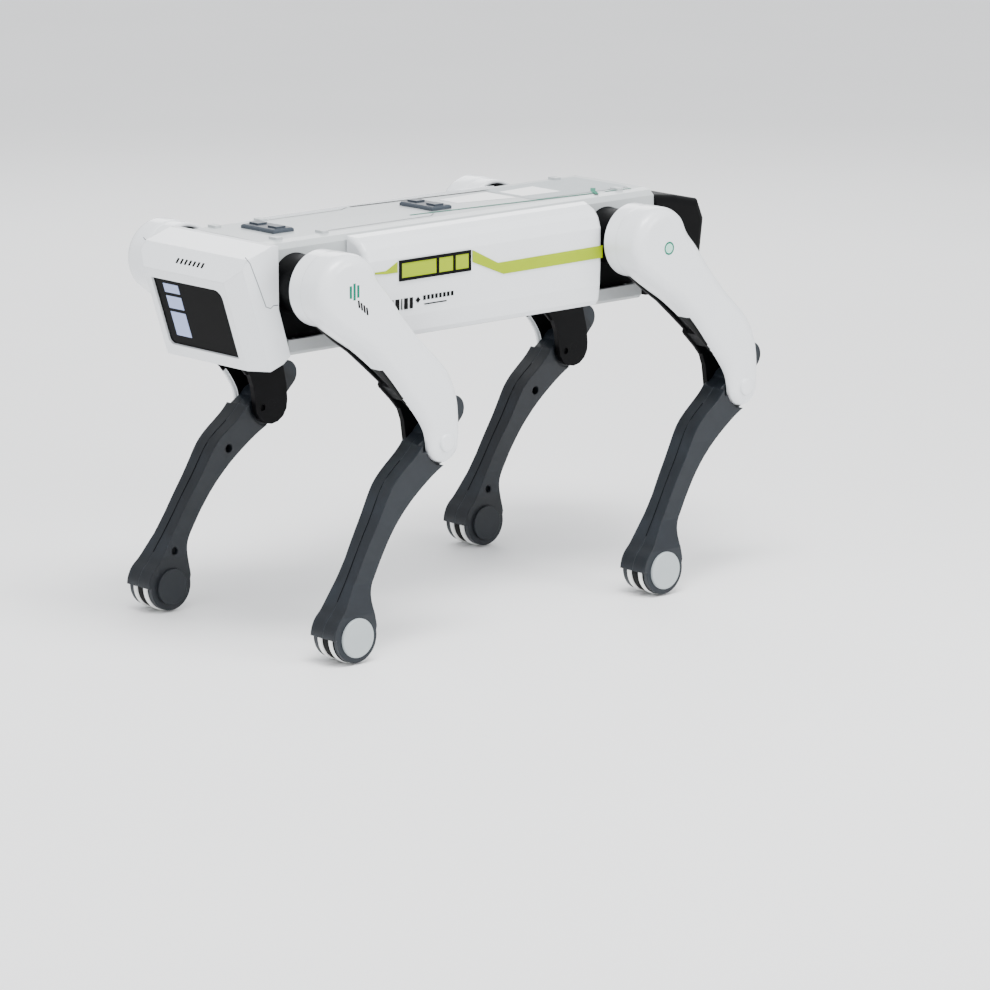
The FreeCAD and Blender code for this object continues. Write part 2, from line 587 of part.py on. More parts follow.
fx0, fz0, fx1, fz1 = FRM
wins = [rect(fx0 + 1.7, fz0 + 1.7, 28.4, fz1 - 1.7), rect(30.2, fz0 + 1.7, 40.6, fz1 - 1.7), rect(42.4, fz0 + 1.7, fx1 - 1.7, fz1 - 1.7)]
SUB.append(plate_on_panel("accent_inlays", [(ACC, []), (TIP, [])] + [(w, []) for w in wins], g("panel_out") + 0.02, g("panel_out") + 0.5))
SUB.append(plate_on_panel("indicator_frames", [(rect(*FRM), wins)], g("panel_out") + 0.02, g("panel_out") + 0.8))

# belly tray: light grey pan that closes the underside
b = new_body("belly_tray")
BL = g("belly_low")
BH = g("belly_half")
yz(b, "pan", g("belly_rear"), g("belly_front"), poly(sym([(BH, g("chassis_low") - 0.2), (BH, BL + 2.0), (BH - 2.0, BL)])),
   add, "P.belly_rear", "P.belly_front - P.belly_rear")
cut(b, "well", "XY_Plane", BL + 2.0, 20.0, rrect(g("belly_rear") + 2.2, -BH + 2.2, g("belly_front") - 2.2, BH - 2.2, 2.0))
cut(b, "door_opening", "XY_Plane", BL - 1.0, 6.0, rrect(-g("door_long") / 2 - 0.2, -g("door_wide") / 2 - 0.2, g("door_long") / 2 + 0.2, g("door_wide") / 2 + 0.2, 2.0))
cut(b, "switch_slot", "XY_Plane", BL - 1.0, 6.0, rrect(-88.0, -3.2, -76.0, 3.2, 0.8))
SUB.append(b)

# head shell: slanted face with a window, chamfered corners
HEAD = [(146.0, 225.3), (150.5, 225.3), (167.4, 219.8), (176.5, 207.3), (160.6, 157.4), (152.0, 157.2), (143.0, 160.4), (138.2, 164.4), (146.0, 190.5)]
HR = 44.0
b = new_body("head_shell")
p = add(b, "block", "XZ_Plane", -HR, 2 * HR, poly(HEAD), "-1 * P.head_half", "2 * P.head_half")


def corner_cut(name, sg):
    # vertical corners of the slanted face, taken off along the lean of the face
    s = b.newObject("Sketcher::SketchObject", name + "_sk")
    s.AttachmentSupport = [(plane(b, "XY_Plane"), "")]
    s.MapMode = "FlatFace"
    lean = math.degrees(math.atan2(176.5 - 160.6, 207.3 - 157.4))
    s.AttachmentOffset = Placement(V(160.6, 0, 157.4), Rotation(V(0, 1, 0), lean))
    for e in poly([(-7.5, sg * 50.0), (-7.5, sg * 44.0), (0.0, sg * 34.6), (6.0, sg * 34.6), (6.0, sg * 50.0)]):
        s.addGeometry(e, False)
    q = b.newObject("PartDesign::Pocket", name)
    q.Profile = s
    q.Midplane = True
    q.Length = 260.0
    return q


corner_cut("corner_l", 1)
q = corner_cut("corner_r", -1)
doc.recompute()
hollow = [(150.2, 223.0), (166.4, 217.8), (173.8, 207.0), (158.9, 160.0), (152.4, 159.6), (143.9, 162.6), (141.2, 165.4), (148.9, 191.0), (148.9, 223.0)]
inner = [(140.0, 223.0)] + hollow[:-2] + [(136.0, 165.4), (136.0, 223.0)]
cut(b, "hollow", "XZ_Plane", -(HR - 9.5), 2 * (HR - 9.5), poly([(x - 0.6, z) for x, z in inner]))
hol2 = [(140.0, 222.0), (163.0, 217.6), (166.0, 207.0), (151.2, 161.0), (145.0, 163.4), (141.0, 166.4), (136.0, 166.4), (136.0, 222.0)]
cut(b, "hollow_side", "XZ_Plane", -(HR - 2.2), 2 * (HR - 2.2), poly(hol2))
# window opening in the slanted face
WINX = math.hypot(176.5 - 160.6, 207.3 - 157.4)


def face_place(off):
    """Frame on the slanted face: x across (+Y), y up the face, z outwards."""
    up = V(176.5 - 160.6, 0, 207.3 - 157.4)
    up.normalize()
    out = V(up.z, 0, -up.x)
    m = FreeCAD.Matrix(0, up.x, out.x, 160.6 + out.x * off, 1, up.y, out.y, 0, 0, up.z, out.z, 157.4 + out.z * off, 0, 0, 0, 1)
    return Placement(m)


def face_sketch(body, name, off, geo):
    s = body.newObject("Sketcher::SketchObject", name)
    s.AttachmentSupport = [(plane(body, "XY_Plane"), "")]
    s.MapMode = "FlatFace"
    s.AttachmentOffset = face_place(off)
    for e in geo:
        s.addGeometry(e, False)
    return s


def face_slab(body, name, lo, hi, geo, kind="Pad"):
    s = face_sketch(body, name + "_sk", lo, geo)
    q_ = body.newObject("PartDesign::" + kind, name)
    q_.Profile = s
    q_.Length = hi - lo
    if kind == "Pocket":
        q_.Reversed = True
    return q_


# window outline: two sharp and two rounded corners
def window(d=0.0):
    y0, y1, v0, v1 = -30.0 + d, 30.0 - d, 6.6 + d, 47.0 - d
    r1, r2 = 5.5, 3.5
    k = math.sqrt(0.5)
    return [Part.LineSegment(V(y0, v1, 0), V(y1 - r1, v1, 0)),
            Part.Arc(V(y1 - r1, v1, 0), V(y1 - r1 + r1 * k, v1 - r1 + r1 * k, 0), V(y1, v1 - r1, 0)),
            Part.LineSegment(V(y1, v1 - r1, 0), V(y1, v0, 0)),
            Part.LineSegment(V(y1, v0, 0), V(y0 + r2, v0, 0)),
            Part.Arc(V(y0 + r2, v0, 0), V(y0 + r2 - r2 * k, v0 + r2 - r2 * k, 0), V(y0, v0 + r2, 0)),
            Part.LineSegment(V(y0, v0 + r2, 0), V(y0, v1, 0))]


face_slab(b, "window_opening", -8.0, 5.0, window(), "Pocket")
SUB.append(b)

LED_BARS = ((-22.5, 38.6, -9.5, 44.0), (-22.5, 29.0, -9.5, 36.6), (-22.5, 12.5, -9.5, 27.0))
b = new_body("face_window")
face_slab(b, "lens", -3.2, -1.2, window(0.15))
for i, (u0, v0, u1, v1) in enumerate(LED_BARS):
    face_slab(b, "bar_pocket_%d" % i, -2.0, 0.0, poly([(u0, v0), (u1, v0), (u1, v1), (u0, v1)]), "Pocket")
SUB.append(b)


def led_bars():
    shapes = []
    pl = face_place(0)
    for (u0, v0, u1, v1) in LED_BARS:
        bx = Part.makeBox(u1 - u0 - 0.1, v1 - v0 - 0.1, 0.95, V(u0 + 0.05, v0 + 0.05, -2.0))
        bx.Placement = pl.multiply(bx.Placement)
        shapes.append(bx)
    o = doc.addObject("Part::Feature", "face_leds")
    o.Label = "face_leds"
    o.Shape = Part.makeCompound(shapes)
    o.Placement = Placement(V(g("origin_shift"), 0, 0), Rotation())
    return o


SUB.append(led_bars())
b = new_body("led_board")
face_slab(b, "board", -6.4, -4.9, rrect(-26.0, 9.0, 2.0, 45.0, 1.5))
SUB.append(b)

# rear cap: black rounded end of the body
CAPP = [(-132.4, 221.8), (-140.4, 221.8), (-158.0, 219.6), (-176.0, 215.6), (-181.0, 204.0), (-178.5, 184.0), (-171.0, 170.0), (-158.0, 164.0), (-126.4, 164.0), (-126.4, 172.4), (-132.4, 172.4)]
b = new_body("rear_cap")
CH = g("cap_half")
p = add(b, "block", "XZ_Plane", -CH, 2 * CH, poly(CAPP), "-1 * P.cap_half", "2 * P.cap_half")


def cap_edges(e):
    bb = e.BoundBox
    side = abs(abs(bb.YMin) - CH) < 1e-4 and abs(abs(bb.YMax) - CH) < 1e-4 and bb.YLength < 1e-4
    return side and bb.XMin < -150.0 and bb.ZMax < 219.7 and bb.XMax < -157.0 + 0.01


f = round_edges(b, "cap_round", p, cap_edges, 5.0)
cut(b, "hollow", "XZ_Plane", -(CH - 2.4), 2 * (CH - 2.4),
    poly([(-126.0, 219.0), (-141.0, 219.0), (-158.0, 217.0), (-173.6, 213.4), (-178.2, 203.6), (-176.0, 185.2), (-169.4, 172.2), (-157.6, 166.4), (-126.0, 166.4)]))
# step that the deck laps over
yz(b, "deck_rebate", -140.3, -120.0, poly([(-50, 212.6), (-34.6, 212.6), (-34.6, 222.6), (-50, 222.6)]), cut)
yz(b, "deck_rebate_2", -140.3, -120.0, poly([(50, 212.6), (34.6, 212.6), (34.6, 222.6), (50, 222.6)]), cut)
yz(b, "deck_rebate_3", -140.3, -120.0, poly([(-50, 219.8), (50, 219.8), (50, 230), (-50, 230)]), cut)
yz(b, "belly_rebate", -132.2, -120.0, poly([(-50, 160), (50, 160), (50, 175), (-50, 175)]), cut)
SUB.append(b)

# deck clips: dark blocks with two pads each
def clip(x):
    base = Part.makeBox(g("clip_wide"), g("clip_long"), g("clip_thick"), V(x - g("clip_wide") / 2, -g("clip_long") / 2, T + 0.02))
    base = base.makeChamfer(0.8, [e for e in base.Edges if abs(e.BoundBox.ZMin - (T + 0.02 + g("clip_thick"))) < 1e-6])
    for sg in (1, -1):
        pad_ = Part.makeBox(6.5, 7.5, 1.2, V(x - 3.25, sg * 8.0 - 3.75, T + 0.02 + g("clip_thick") - 0.2))
        base = base.fuse(pad_)
    return base.removeSplitter()


o = doc.addObject("Part::Feature", "deck_clips")
o.Label = "deck_clips"
o.Shape = Part.makeCompound([clip(117.5), clip(2.6)])
o.Placement = Placement(V(g("origin_shift"), 0, 0), Rotation())
SUB.append(o)


# hip gearboxes: a drum through the chassis wall with its output shaft, one at each hip
def gearboxes():
    shapes = []
    for sg in (1, -1):
        for hx in (HX, HX - g("hip_spacing")):
            drum = Part.makeCylinder(g("gearbox_rad"), g("gearbox_out") - 30.0, V(hx, 30.0, HZ), V(0, 1, 0))
            motor = Part.makeBox(26.0, 22.0, 30.0, V(hx - 13.0, 9.0, HZ - 15.5))
            shaft = Part.makeCylinder(g("shaft_rad"), 66.0 - 50.0, V(hx, 50.0, HZ), V(0, 1, 0))
            sol = drum.fuse([motor, shaft]).removeSplitter()
            if sg < 0:
                sol = sol.mirror(V(0, 0, 0), V(0, 1, 0))
            shapes.append(sol)
    o_ = doc.addObject("Part::Feature", "hip_gearboxes")
    o_.Label = "hip_gearboxes"
    o_.Shape = Part.makeCompound(shapes)
    o_.Placement = Placement(V(g("origin_shift"), 0, 0), Rotation())
    return o_


SUB.append(gearboxes())

# inside and underneath
b = new_body("battery_pack")
add(b, "cell", "XY_Plane", 167.5, g("battery_tall"), rrect(-g("battery_long") / 2, -g("battery_wide") / 2, g("battery_long") / 2, g("battery_wide") / 2, 4.0), None, "P.battery_tall")
SUB.append(b)
b = new_body("battery_door")
add(b, "plate", "XY_Plane", BL + 0.02, 1.96, rrect(-g("door_long") / 2, -g("door_wide") / 2, g("door_long") / 2, g("door_wide") / 2, 2.0))
cut(b, "finger_recess", "XY_Plane", BL - 0.5, 1.3, rrect(36.0, -8.0, 44.0, 8.0, 2.0))
SUB.append(b)
b = new_body("main_board")
add(b, "board", "XY_Plane", 196.0, g("board_thick"), rrect(-48.0, -g("board_wide") / 2, 48.0, g("board_wide") / 2, 2.0), None, "P.board_thick")
add(b, "chips", "XY_Plane", 197.0, 3.0, rrect(-18.0, -10.0, 6.0, 10.0, 0.5))
SUB.append(b)
b = new_body("speaker")
add(b, "basket", "XY_Plane", 167.0, g("speaker_tall"), circ((78.0, 0.0), g("speaker_rad")), None, "P.speaker_tall")
SUB.append(b)


def screws():
    shapes = []
    for x in (-118.0, -62.0, 62.0, 130.0):
        for y in (-36.0, 36.0):
            head_ = Part.makeCylinder(2.4, 1.0, V(x, y, BL + 0.1), V(0, 0, 1))
            shank_ = Part.makeCylinder(1.2, 7.5, V(x, y, BL + 1.0), V(0, 0, 1))
            slot_ = Part.makeBox(3.4, 0.7, 0.6, V(x - 1.7, y - 0.35, BL))
            shapes.append(head_.fuse(shank_).cut(slot_).removeSplitter())
    o_ = doc.addObject("Part::Feature", "body_screws")
    o_.Label = "body_screws"
    o_.Shape = Part.makeCompound(shapes)
    o_.Placement = Placement(V(g("origin_shift"), 0, 0), Rotation())
    return o_


b = doc.getObject("belly_tray")
for i, x in enumerate((-118.0, -62.0, 62.0, 130.0)):
    for y in (-36.0, 36.0):
        cut(b, "screw_%d_%s" % (i, "l" if y > 0 else "r"), "XY_Plane", BL - 1.0, 4.0, circ((x, y), 1.25))
        cut(b, "head_seat_%d_%s" % (i, "l" if y > 0 else "r"), "XY_Plane", BL - 1.0, 2.1, circ((x, y), 2.5))
SUB.append(screws())
b = new_body("power_switch")
add(b, "knob", "XY_Plane", BL + 0.2, 2.0, rrect(-86.0, -2.6, -82.0, 2.6, 0.6))
add(b, "slider", "XY_Plane", BL + 2.05, 1.5, rrect(-89.0, -4.6, -79.0, 4.6, 0.6))
add(b, "neck", "XY_Plane", BL + 1.0, 1.4, rrect(-86.0, -2.6, -82.0, 2.6, 0.6))
SUB.append(b)

doc.recompute()
bad = []
for o in doc.Objects:
    if any(t in ("Invalid", "Error") for t in o.State):
        bad.append((o.Label, o.Name, list(o.State)))
for o in SUB:
    sh = o.Shape
    if sh.isNull() or not sh.isValid() or sh.Volume <= 0:
        bad.append((o.Label, "shape", sh.isNull()))
if bad:
    raise RuntimeError("failed objects: %s" % bad[:12])
os.makedirs("parts", exist_ok=True)
names = set()
for o in SUB:
    assert o.Label not in names
    names.add(o.Label)
    o.Shape.exportStep("parts/%s.step" % o.Label)
assert len(names) <= 60
bb = FreeCAD.BoundBox()
for o in SUB:
    bb.add(o.Shape.BoundBox)
print("nodes", len(names), "box", [round(v, 2) for v in (bb.XMin, bb.XMax, bb.YMin, bb.YMax, bb.ZMin, bb.ZMax)])
for o in SUB:
    print(o.Label, "solids", len(o.Shape.Solids), "vol", round(o.Shape.Volume, 1))
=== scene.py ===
import bpy, bmesh, json, math
from mathutils import Vector, Matrix, Quaternion


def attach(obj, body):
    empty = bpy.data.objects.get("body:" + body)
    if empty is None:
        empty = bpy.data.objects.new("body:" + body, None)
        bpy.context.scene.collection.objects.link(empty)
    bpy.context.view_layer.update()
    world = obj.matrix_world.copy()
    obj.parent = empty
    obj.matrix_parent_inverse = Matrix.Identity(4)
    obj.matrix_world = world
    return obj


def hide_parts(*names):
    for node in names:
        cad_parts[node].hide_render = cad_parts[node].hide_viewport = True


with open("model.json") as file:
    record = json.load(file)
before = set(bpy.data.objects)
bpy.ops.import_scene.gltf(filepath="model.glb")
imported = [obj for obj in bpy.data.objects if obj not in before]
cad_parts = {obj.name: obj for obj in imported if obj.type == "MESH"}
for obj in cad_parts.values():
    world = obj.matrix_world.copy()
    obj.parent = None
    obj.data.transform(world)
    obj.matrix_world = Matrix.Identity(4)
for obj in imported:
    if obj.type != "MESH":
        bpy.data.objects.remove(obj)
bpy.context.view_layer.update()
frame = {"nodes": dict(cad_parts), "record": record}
NODES = frame["nodes"]
MM = 0.001
HX_F, HX_R, HZ = 138.0, -93.4, 202.5
LEGS = {"lf": (1, HX_F, 0.0), "rf": (-1, HX_F, -0.7), "lr": (1, HX_R, 0.0), "rr": (-1, HX_R, 1.6)}
K = (-66.0, -90.2)
F = (1.7, -187.9)


# ------------------------------------------------------------------ materials
def srgb(h):
    v = [int(h[i:i + 2], 16) / 255.0 for i in (0, 2, 4)]
    return tuple(c / 12.92 if c <= 0.04045 else ((c + 0.055) / 1.055) ** 2.4 for c in v) + (1.0,)


def material(name, hexcol, rough, metal=0.0, coat=0.0, vary=0.04, cloud=60.0, grain=2500.0,
             grain_depth=0.00002, rough_vary=0.05, wear=0.0, wear_col=None, bevel=0.0003, emit=0.0,
             streak=None, ior=1.5, spec=0.5):
    m = bpy.data.materials.new(name)
    m.use_nodes = True
    nt = m.node_tree
    N, Lk = nt.nodes, nt.links
    N.clear()
    out = N.new("ShaderNodeOutputMaterial")
    bs = N.new("ShaderNodeBsdfPrincipled")
    Lk.new(bs.outputs[0], out.inputs[0])
    tc = N.new("ShaderNodeTexCoord")
    mp = N.new("ShaderNodeMapping")
    if streak:
        mp.inputs["Scale"].default_value = streak
    Lk.new(tc.outputs["Object"], mp.inputs["Vector"])
    n1 = N.new("ShaderNodeTexNoise")
    n1.inputs["Scale"].default_value = cloud
    n1.inputs["Detail"].default_value = 5
    Lk.new(mp.outputs[0], n1.inputs["Vector"])
    base = srgb(hexcol)
    ramp = N.new("ShaderNodeValToRGB")
    ramp.color_ramp.elements[0].position = 0.3
    ramp.color_ramp.elements[1].position = 0.7
    ramp.color_ramp.elements[0].color = tuple(c * (1 - vary) for c in base[:3]) + (1,)
    ramp.color_ramp.elements[1].color = tuple(min(1.0, c * (1 + vary)) for c in base[:3]) + (1,)
    Lk.new(n1.outputs["Fac"], ramp.inputs["Fac"])
    col = ramp.outputs["Color"]
    if wear > 0:
        geo = N.new("ShaderNodeNewGeometry")
        pr = N.new("ShaderNodeValToRGB")
        pr.color_ramp.elements[0].position = 0.52
        pr.color_ramp.elements[1].position = 0.62
        pr.color_ramp.elements[0].color = (0, 0, 0, 1)
        pr.color_ramp.elements[1].color = (wear, wear, wear, 1)
        Lk.new(geo.outputs["Pointiness"], pr.inputs["Fac"])
        mx = N.new("ShaderNodeMixRGB")
        mx.inputs["Color2"].default_value = srgb(wear_col)
        Lk.new(pr.outputs["Color"], mx.inputs["Fac"])
        Lk.new(col, mx.inputs["Color1"])
        col = mx.outputs["Color"]
    Lk.new(col, bs.inputs["Base Color"])
    mr = N.new("ShaderNodeMapRange")
    mr.inputs["To Min"].default_value = max(0.02, rough - rough_vary)
    mr.inputs["To Max"].default_value = min(1.0, rough + rough_vary)
    n2 = N.new("ShaderNodeTexNoise")
    n2.inputs["Scale"].default_value = cloud * 3.1
    n2.inputs["Detail"].default_value = 4
    Lk.new(mp.outputs[0], n2.inputs["Vector"])
    Lk.new(n2.outputs["Fac"], mr.inputs["Value"])
    Lk.new(mr.outputs[0], bs.inputs["Roughness"])
    n3 = N.new("ShaderNodeTexNoise")
    n3.inputs["Scale"].default_value = grain
    n3.inputs["Detail"].default_value = 3
    Lk.new(mp.outputs[0], n3.inputs["Vector"])
    bp = N.new("ShaderNodeBump")
    bp.inputs["Strength"].default_value = 0.35
    bp.inputs["Distance"].default_value = grain_depth
    Lk.new(n3.outputs["Fac"], bp.inputs["Height"])
    if bevel:
        bv = N.new("ShaderNodeBevel")
        bv.samples = 4
        bv.inputs["Radius"].default_value = bevel
        Lk.new(bv.outputs[0], bp.inputs["Normal"])
    Lk.new(bp.outputs[0], bs.inputs["Normal"])
    bs.inputs["Metallic"].default_value = metal
    bs.inputs["Coat Weight"].default_value = coat
    bs.inputs["Coat Roughness"].default_value = 0.08
    bs.inputs["IOR"].default_value = ior
    bs.inputs["Specular IOR Level"].default_value = spec
    if emit:
        bs.inputs["Emission Color"].default_value = base
        bs.inputs["Emission Strength"].default_value = emit
    return m


M = {
    "shell_white": material("shell_white", "E9ECEF", 0.24, coat=0.30, vary=0.008, grain_depth=0.000008, bevel=0.0007, rough_vary=0.03),
    "deck_grey": material("deck_grey", "B9BEBF", 0.30, coat=0.12, vary=0.015, grain_depth=0.00001, bevel=0.0004),
    "frame_black": material("frame_black", "050506", 0.50, vary=0.15, grain=1800, grain_depth=0.00005, wear=0.2, wear_col="0E0F12", bevel=0.0003, spec=0.08),
    "lime": material("lime", "98AE00", 0.40, vary=0.03, bevel=0.0001, spec=0.15),
    "belly_grey": material("belly_grey", "A2A5A6", 0.45, vary=0.04, grain_depth=0.00004, bevel=0.0004),
    "window_dark": material("window_dark", "010102", 0.22, vary=0.05, grain_depth=0.000003, bevel=0.0002, spec=0.04),
    "led_pane": material("led_pane", "98A5CC", 0.35, vary=0.04, cloud=180, emit=0.22, bevel=0.0002, spec=0.3),
    "board_green": material("board_green", "1F5C3A", 0.35, vary=0.12, cloud=220, coat=0.3),
    "clip_slate": material("clip_slate", "343A42", 0.40, vary=0.06, grain_depth=0.00003, wear=0.3, wear_col="4D545D", spec=0.3),
    "battery_wrap": material("battery_wrap", "26489A", 0.25, vary=0.04, coat=0.3),
    "screw_steel": material("screw_steel", "B9BABD", 0.30, metal=1.0, vary=0.05, streak=(1, 14, 1), grain_depth=0.00002),
    "servo_black": material("servo_black", "1B1C1F", 0.50, vary=0.10, grain_depth=0.00005),
    "shank_slate": material("shank_slate", "13171C", 0.42, vary=0.06, grain=2200, grain_depth=0.00004, wear=0.35, wear_col="272E36", bevel=0.0008, rough_vary=0.06, spec=0.30),
    "cap_grey": material("cap_grey", "A7AFB1", 0.38, vary=0.03, grain_depth=0.00003, bevel=0.0003),
    "foot_rubber": material("foot_rubber", "070708", 0.75, vary=0.15, grain=1500, grain_depth=0.00008, spec=0.2),
    "band_white": material("band_white", "EDEEEC", 0.45, vary=0.03, grain=1500, grain_depth=0.00004, bevel=0.0003),
    "ink_teal": material("ink_teal", "006E58", 0.55, vary=0.03, bevel=0.0, spec=0.1),
    "ink_mint": material("ink_mint", "A8DCCB", 0.40, vary=0.03, bevel=0.0),
    "ink_black": material("ink_black", "050506", 0.60, vary=0.06, bevel=0.0, spec=0.1),
    "ink_grey": material("ink_grey", "98A0A3", 0.42, vary=0.03, bevel=0.0),
    "ink_seam": material("ink_seam", "6F7478", 0.5, vary=0.03, bevel=0.0),
    "ink_white": material("ink_white", "F0F1F1", 0.40, vary=0.02, bevel=0.0),
    "floor": material("floor", "FCFCFC", 0.75, vary=0.01, cloud=4, grain=300, bevel=0.0),
}

subslots = {s["node"]: s["material_slot"] for s in frame["record"]["subparts"]}
for n, o in NODES.items():
    o.data.materials.clear()
    o.data.materials.append(M["frame_black" if n.startswith("knee_pin") else subslots[n]])


# ------------------------------------------------------------------ mesh helpers
def finish_piece(name, bm, mats, body, replaces=None, smooth=True, angle=35.0):
    me = bpy.data.meshes.new(name)
    bmesh.ops.recalc_face_normals(bm, faces=bm.faces)
    for f in bm.faces:
        f.smooth = smooth
    for e in bm.edges:
        if len(e.link_faces) == 2 and e.calc_face_angle(0) > math.radians(angle):
            e.smooth = False
    bm.to_mesh(me)
    bm.free()
    ob = bpy.data.objects.new(name, me)
    bpy.context.scene.collection.objects.link(ob)
    for m in mats:
        me.materials.append(M[m])
    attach(ob, body)
    if replaces:
        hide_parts(replaces)
    return ob


def leg_xf(tag):
    """Points of a leg drawn from the hip at (0, 0), on the left side, to the object's frame."""
    s, hx, lean = LEGS[tag]
    a = math.radians(lean)
    ca, sa = math.cos(a), math.sin(a)

    def f(x, y, z):
        return Vector(((hx + x * ca + z * sa) * MM, s * y * MM, (HZ - x * sa + z * ca) * MM))
    return f


def spline_closed(pts, n):
    """n points on the centripetal Catmull-Rom curve through pts, closed, evenly spaced."""
    P = [Vector(p) for p in pts]
    m = len(P)
    dense = []
    for i in range(m):
        p0, p1, p2, p3 = P[i - 1], P[i], P[(i + 1) % m], P[(i + 2) % m]
        t0 = 0.0
        t1 = t0 + max((p1 - p0).length, 1e-9) ** 0.5
        t2 = t1 + max((p2 - p1).length, 1e-9) ** 0.5
        t3 = t2 + max((p3 - p2).length, 1e-9) ** 0.5
        for j in range(16):
            t = t1 + (t2 - t1) * j / 16.0
            a1 = (t1 - t) / (t1 - t0) * p0 + (t - t0) / (t1 - t0) * p1
            a2 = (t2 - t) / (t2 - t1) * p1 + (t - t1) / (t2 - t1) * p2
            a3 = (t3 - t) / (t3 - t2) * p2 + (t - t2) / (t3 - t2) * p3
            b1 = (t2 - t) / (t2 - t0) * a1 + (t - t0) / (t2 - t0) * a2
            b2 = (t3 - t) / (t3 - t1) * a2 + (t - t1) / (t3 - t1) * a3
            dense.append((t2 - t) / (t2 - t1) * b1 + (t - t1) / (t2 - t1) * b2)
    L = [0.0]
    for i in range(len(dense)):
        L.append(L[-1] + (dense[(i + 1) % len(dense)] - dense[i]).length)
    out, k = [], 0
    for i in range(n):
        d = L[-1] * i / n
        while L[k + 1] < d:
            k += 1
        u = (d - L[k]) / max(L[k + 1] - L[k], 1e-9)
        out.append(tuple(dense[k].lerp(dense[(k + 1) % len(dense)], u)))
    return out


def mitred(pts, d):
    n = len(pts)
    area = sum(pts[i][0] * pts[(i + 1) % n][1] - pts[(i + 1) % n][0] * pts[i][1] for i in range(n))
    sg = 1 if area > 0 else -1
    out = []
    for i in range(n):
        (ax, ay), (px, py), (bx, by) = pts[i - 1], pts[i], pts[(i + 1) % n]
        l1, l2 = math.hypot(px - ax, py - ay), math.hypot(bx - px, by - py)
        n1 = (-sg * (py - ay) / l1, sg * (px - ax) / l1)
        n2 = (-sg * (by - py) / l2, sg * (bx - px) / l2)
        k = d / (1 + n1[0] * n2[0] + n1[1] * n2[1])
        out.append((px + k * (n1[0] + n2[0]), py + k * (n1[1] + n2[1])))
    return out


def arc_pts(c, r, a0, a1, n):
    return [(c[0] + r * math.cos(math.radians(a0 + (a1 - a0) * i / (n - 1.0))),
             c[1] + r * math.sin(math.radians(a0 + (a1 - a0) * i / (n - 1.0)))) for i in range(n)]


def bridge(bm, a, b):
    n = len(a)
    for i in range(n):
        bm.faces.new((a[i], a[(i + 1) % n], b[(i + 1) % n], b[i]))


def lathe(bm, xf, c, profile, mats=None, n=72, cap0=True, cap1=True):
    """Rings about the Y direction through c; profile is [(radius, y)], mats one index per band."""
    rings = []
    for r, y in profile:
        if r < 1e-6:
            rings.append([bm.verts.new(xf(c[0], y, c[1]))])
        else:
            rings.append([bm.verts.new(xf(c[0] + r * math.cos(2 * math.pi * i / n), y, c[1] + r * math.sin(2 * math.pi * i / n))) for i in range(n)])
    for k in range(len(rings) - 1):
        A, B = rings[k], rings[k + 1]
        fs = []
        if len(A) == 1 and len(B) > 1:
            fs = [bm.faces.new((A[0], B[i], B[(i + 1) % n])) for i in range(n)]
        elif len(B) == 1 and len(A) > 1:
            fs = [bm.faces.new((A[i], A[(i + 1) % n], B[0])) for i in range(n)]
        else:
            fs = [bm.faces.new((A[i], A[(i + 1) % n], B[(i + 1) % n], B[i])) for i in range(n)]
        if mats:
            for f in fs:
                f.material_index = mats[k]


def rel(pts):
    return [(x - 129.5, z - HZ) for x, z in pts]


COVER = (arc_pts((0, 0), 21.3, 165, -62, 9)
         + rel([(127.0, 174.8), (115.7, 167.0), (102.3, 153.3), (90.0, 138.2), (81.5, 128.0), (76.4, 119.5)])
         + arc_pts(K, 11.6, 8, -188, 7)
         + rel([(52.0, 121.5), (53.4, 136.0), (58.0, 148.2), (66.0, 159.0), (77.0, 169.6), (90.2, 184.6), (101.5, 199.5)]))


# ------------------------------------------------------------------ thigh covers
def rim_y(x, z):
    kl = math.hypot(*K)
    d = (x * K[0] + z * K[1]) / kl
    if d < 32:
        return 67.5
    if d > 82:
        return 81.0
    t = (d - 32) / 50.0
    t = t * t * (3 - 2 * t) * 0.35 + t * 0.65
    return 67.5 + 13.5 * t


